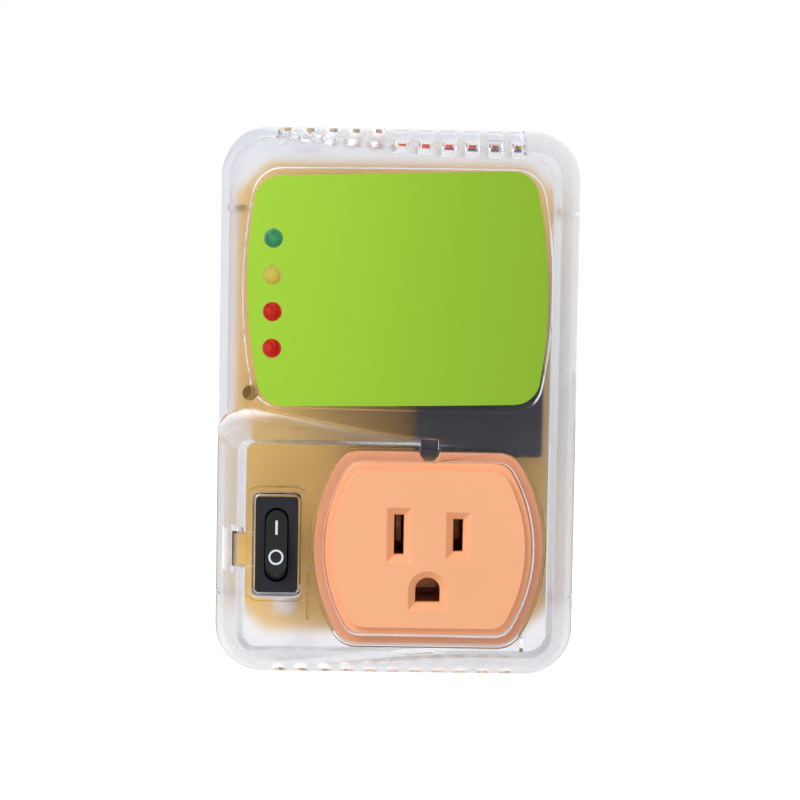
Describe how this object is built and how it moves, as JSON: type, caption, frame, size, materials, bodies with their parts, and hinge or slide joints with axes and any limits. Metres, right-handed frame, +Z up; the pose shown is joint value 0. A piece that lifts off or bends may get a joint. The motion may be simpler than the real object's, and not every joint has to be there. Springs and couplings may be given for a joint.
{
  "type": "appliance voltage protector",
  "caption": "Plug-in appliance voltage protector: clear shell over a circuit board, green label with indicator lamps, rocker switch, grounded outlet and wall plug.",
  "frame": {"origin": "middle of the wall plug, halfway between the two flat blades, on the pad face that meets the wall outlet", "axes": "+Y out of the back along the plug blades, +Z up the housing, +X to the right as seen from the front"},
  "size_m": [0.078, 0.0635, 0.1194],
  "materials": {
    "clear_shell": "clear, front wall frosted inside",
    "label_film": "satin printed film",
    "board_laminate": "satin",
    "plated_steel": "bright plated",
    "peach_plastic": "satin moulded",
    "contact_bronze": "bright rolled",
    "switch_black": "fine matt",
    "rocker_black": "satin",
    "tinned_brass": "tinned",
    "wire_insulation": "smooth",
    "plated_brass": "nickel plated",
    "white_plastic": "satin",
    "relay_black": "satin",
    "red_epoxy": "dipped",
    "blue_epoxy": "dipped",
    "capacitor_sleeve": "smooth",
    "moulded_black": "satin",
    "resistor_coat": "lacquered",
    "trimmer_blue": "smooth",
    "led_green": "clear tinted",
    "led_yellow": "clear tinted",
    "led_red": "clear tinted"
  },
  "bodies": {
    "housing": {"front_cover": "clear_shell", "rear_cover": "clear_shell", "front_label": "label_film", "circuit_board": "board_laminate", "board_screws": "plated_steel", "socket_face": "peach_plastic", "socket_back": "peach_plastic", "socket_screws": "plated_steel", "neutral_contact": "contact_bronze", "hot_contact": "contact_bronze", "ground_contact": "contact_bronze", "switch_body": "switch_black", "switch_base": "switch_black", "switch_terminals": "tinned_brass", "switch_wires": "wire_insulation", "neutral_blade": "plated_brass", "hot_blade": "plated_brass", "ground_pin": "plated_brass", "blade_retainer": "white_plastic", "retainer_screws": "plated_steel", "relay_case": "relay_black", "relay_base": "relay_black", "relay_pins": "tinned_brass", "film_capacitor": "red_epoxy", "varistor": "blue_epoxy", "smoothing_capacitors": "capacitor_sleeve", "rectifier_diodes": "moulded_black", "resistors": "resistor_coat", "timing_chip": "moulded_black", "relay_transistor": "moulded_black", "trimmers": "trimmer_blue", "led_green": "led_green", "led_yellow": "led_yellow", "led_red_upper": "led_red", "led_red_lower": "led_red", "led_legs": "tinned_brass"},
    "rocker": {"switch_rocker": "rocker_black", "switch_plunger": "plated_steel", "switch_spring": "plated_steel"},
    "contact_lever": {"switch_contact_lever": "contact_bronze"}
  },
  "joints": [
    {"name": "rocker_tilt", "type": "hinge", "parent": "housing", "child": "rocker", "pos_m": [-0.0256, -0.0376, -0.0555], "axis": [1, 0, 0], "range_deg": [0, 24]},
    {"name": "contact_lever_rock", "type": "hinge", "parent": "housing", "child": "contact_lever", "pos_m": [-0.0256, -0.0298, -0.0555], "axis": [1, 0, 0], "range_deg": [-12, 0]}
  ],
  "couplings": [
    {"joint": "contact_lever_rock", "follows": "rocker_tilt", "ratio": -0.5}
  ]
}
